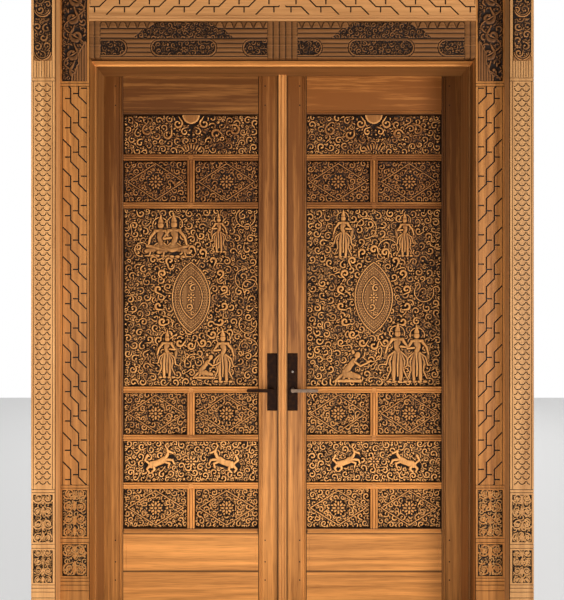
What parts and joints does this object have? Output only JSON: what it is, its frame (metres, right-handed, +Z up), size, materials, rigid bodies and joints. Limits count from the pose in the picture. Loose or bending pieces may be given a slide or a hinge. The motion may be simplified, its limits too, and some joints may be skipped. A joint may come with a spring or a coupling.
{
  "type": "carved temple door",
  "caption": "Double-leaf carved timber door in a deep pilastered frame, with panelled inward-opening leaves, lever handles and a mortise lock.",
  "frame": {"origin": "middle of the doorway on the underside of the sill and the pilasters, in the plane of the closed leaves' outside faces", "axes": "+X to the right seen from outside, +Y into the house, +Z up"},
  "size_m": [2.216, 0.4152, 2.85],
  "materials": {
    "leaf_teak": "oiled golden-brown teak, straight grain",
    "carved_teak": "hand-carved teak with dark stained recesses",
    "casing_teak": "carved teak boards, oiled",
    "jamb_teak": "oiled teak in shade",
    "peg_teak": "dark end grain",
    "dark_bronze": "oil-rubbed dark bronze",
    "steel": "satin"
  },
  "bodies": {
    "frame": {"threshold": "jamb_teak", "jamb_left": "jamb_teak", "jamb_right": "jamb_teak", "head_jamb": "jamb_teak", "reveal_linings": "casing_teak", "centre_post": "casing_teak", "inner_pilaster_left": "casing_teak", "inner_pilaster_right": "casing_teak", "outer_pilasters": "casing_teak", "frieze": "casing_teak", "header_board": "casing_teak", "cornice": "casing_teak", "hinge_frame_halves": "dark_bronze", "hinge_pins": "dark_bronze", "strike_plates": "steel"},
    "left_leaf": {"left_hinge_stile": "leaf_teak", "left_meeting_stile": "leaf_teak", "left_top_rail": "leaf_teak", "left_lower_rail": "leaf_teak", "left_bottom_rail": "leaf_teak", "left_cross_bars": "leaf_teak", "left_upright_bars": "leaf_teak", "left_ledge": "leaf_teak", "left_sun_panel": "carved_teak", "left_figure_panel": "carved_teak", "left_beast_panel": "carved_teak", "left_small_panels": "carved_teak", "left_pegs": "peg_teak", "left_hinge_halves": "dark_bronze", "left_outside_plate": "dark_bronze", "left_inside_plate": "dark_bronze", "left_lock_case": "steel"},
    "left_lever": {"left_lever_outside": "dark_bronze", "left_lever_inside": "dark_bronze", "left_follower": "steel"},
    "left_latch_bolt": {"left_latch": "steel"},
    "right_leaf": {"right_hinge_stile": "leaf_teak", "right_meeting_stile": "leaf_teak", "right_top_rail": "leaf_teak", "right_lower_rail": "leaf_teak", "right_bottom_rail": "leaf_teak", "right_cross_bars": "leaf_teak", "right_upright_bars": "leaf_teak", "right_ledge": "leaf_teak", "right_sun_panel": "carved_teak", "right_figure_panel": "carved_teak", "right_beast_panel": "carved_teak", "right_small_panels": "carved_teak", "right_pegs": "peg_teak", "right_hinge_halves": "dark_bronze", "right_outside_plate": "dark_bronze", "right_inside_plate": "dark_bronze", "right_lock_case": "steel", "key_cylinder": "steel"},
    "right_lever": {"right_lever_outside": "dark_bronze", "right_lever_inside": "dark_bronze", "right_follower": "steel"},
    "right_latch_bolt": {"right_latch": "steel"},
    "key": {"key_plug": "steel"},
    "bolt": {"deadbolt": "steel"}
  },
  "joints": [
    {"name": "left_leaf_swing", "type": "hinge", "parent": "frame", "child": "left_leaf", "pos_m": [-0.8485, 0.052, 0], "axis": [0, 0, 1], "range_deg": [0, 100]},
    {"name": "left_lever_turn", "type": "hinge", "parent": "left_leaf", "child": "left_lever", "pos_m": [-0.048, 0.0225, 1.04], "axis": [0, -1, 0], "range_deg": [0, 45], "stiffness_Nm_per_rad": 1.2, "springref_deg": -20.05},
    {"name": "left_latch_slide", "type": "slide", "parent": "left_leaf", "child": "left_latch_bolt", "axis": [-1, 0, 0], "range_m": [0, 0.011]},
    {"name": "right_leaf_swing", "type": "hinge", "parent": "frame", "child": "right_leaf", "pos_m": [0.8485, 0.052, 0], "axis": [0, 0, -1], "range_deg": [0, 100]},
    {"name": "right_lever_turn", "type": "hinge", "parent": "right_leaf", "child": "right_lever", "pos_m": [0.048, 0.0225, 1.04], "axis": [0, 1, 0], "range_deg": [0, 45], "stiffness_Nm_per_rad": 1.2, "springref_deg": -20.05},
    {"name": "right_latch_slide", "type": "slide", "parent": "right_leaf", "child": "right_latch_bolt", "axis": [1, 0, 0], "range_m": [0, 0.011]},
    {"name": "key_turn", "type": "hinge", "parent": "right_leaf", "child": "key", "pos_m": [0.048, 0.0225, 1.123], "axis": [0, 1, 0], "range_deg": [0, 90]},
    {"name": "bolt_slide", "type": "slide", "parent": "right_leaf", "child": "bolt", "axis": [-1, 0, 0], "range_m": [0, 0.011]}
  ],
  "couplings": [
    {"joint": "left_latch_slide", "follows": "left_lever_turn", "m_per_rad": 0.014},
    {"joint": "right_latch_slide", "follows": "right_lever_turn", "m_per_rad": 0.014},
    {"joint": "key_turn", "follows": "bolt_slide", "rad_per_m": 142.79}
  ]
}
